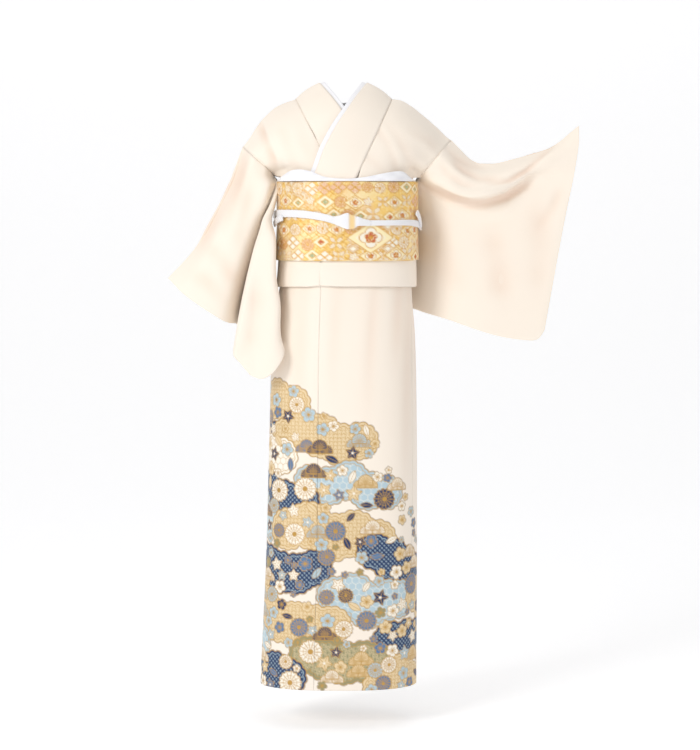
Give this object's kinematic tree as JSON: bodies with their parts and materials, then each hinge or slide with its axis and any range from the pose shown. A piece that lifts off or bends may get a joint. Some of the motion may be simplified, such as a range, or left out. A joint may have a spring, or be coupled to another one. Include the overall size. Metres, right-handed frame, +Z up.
{
  "type": "formal kimono",
  "caption": "Full-length silk kimono in its worn form, wrapped left over right, with a wide brocade sash, sash scarf and sash cord; hollow inside.",
  "frame": {"origin": "midway between the two neck points of the shoulders, where the wearer carries the garment", "axes": "+Z up along the body, -Y towards the front, +X towards the wearer's left"},
  "size_m": [0.9077, 0.3364, 1.3402],
  "materials": {
    "ivory_silk": "soft crepe",
    "white_silk": "fine weave",
    "brocade": "gold brocade",
    "cord": "flat braid"
  },
  "bodies": {
    "root": {"skirt_front_left": "ivory_silk", "overlap_left": "ivory_silk", "skirt_back_left": "ivory_silk", "skirt_back_right": "ivory_silk", "skirt_front_right": "ivory_silk", "overlap_right": "ivory_silk", "collar": "ivory_silk", "under_collar": "white_silk", "sleeve_left": "ivory_silk", "bodice_left": "ivory_silk", "sleeve_right": "ivory_silk", "bodice_right": "ivory_silk", "overlap_left_tuck": "ivory_silk", "sash": "brocade", "sash_drum": "brocade", "sash_tail": "brocade", "sash_hand": "brocade", "sash_scarf": "white_silk", "sash_cord": "cord", "cord_knot": "cord", "cord_end_left": "cord", "cord_end_right": "cord"}
  },
  "joints": []
}
